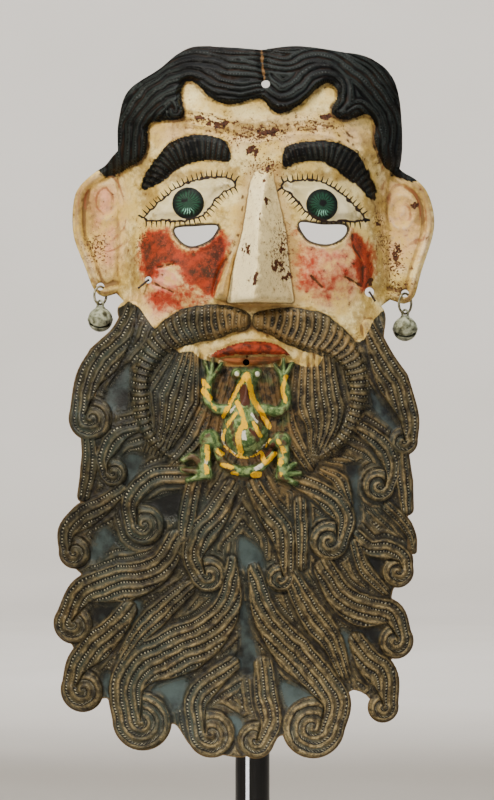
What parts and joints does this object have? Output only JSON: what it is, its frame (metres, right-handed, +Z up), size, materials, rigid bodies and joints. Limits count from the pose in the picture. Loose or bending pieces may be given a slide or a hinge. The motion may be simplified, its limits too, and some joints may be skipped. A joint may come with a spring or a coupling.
{
  "type": "human face mask",
  "caption": "Painted sheet-metal mask of a bearded human face with a wedge nose, curled beard locks, a frog on the chin and bell earrings, held on a black rod stand.",
  "frame": {"origin": "centre of the stand base's underside, which is the middle of the rod's axis at floor level", "axes": "+Z up, the face looks along -Y, +X is to the viewer's right"},
  "size_m": [0.2433, 0.16, 0.5595],
  "materials": {
    "painted_copper": "worn matt paint over beaten copper",
    "bell_metal": "pale green patina",
    "wire": "dull tarnished wire",
    "black_stand": "gloss black",
    "felt": "black felt"
  },
  "bodies": {
    "root": {"mask": "painted_copper", "bell_left": "bell_metal", "bell_right": "bell_metal", "earring_hoop_left": "wire", "earring_hoop_right": "wire", "tie_wire_left": "wire", "tie_wire_right": "wire", "stand_rod": "black_stand", "stand_base": "black_stand", "cradle_bar_upper": "black_stand", "cradle_bar_lower": "black_stand", "pad_upper_left": "felt", "pad_upper_right": "felt", "pad_lower_left": "felt", "pad_lower_right": "felt"}
  },
  "joints": []
}
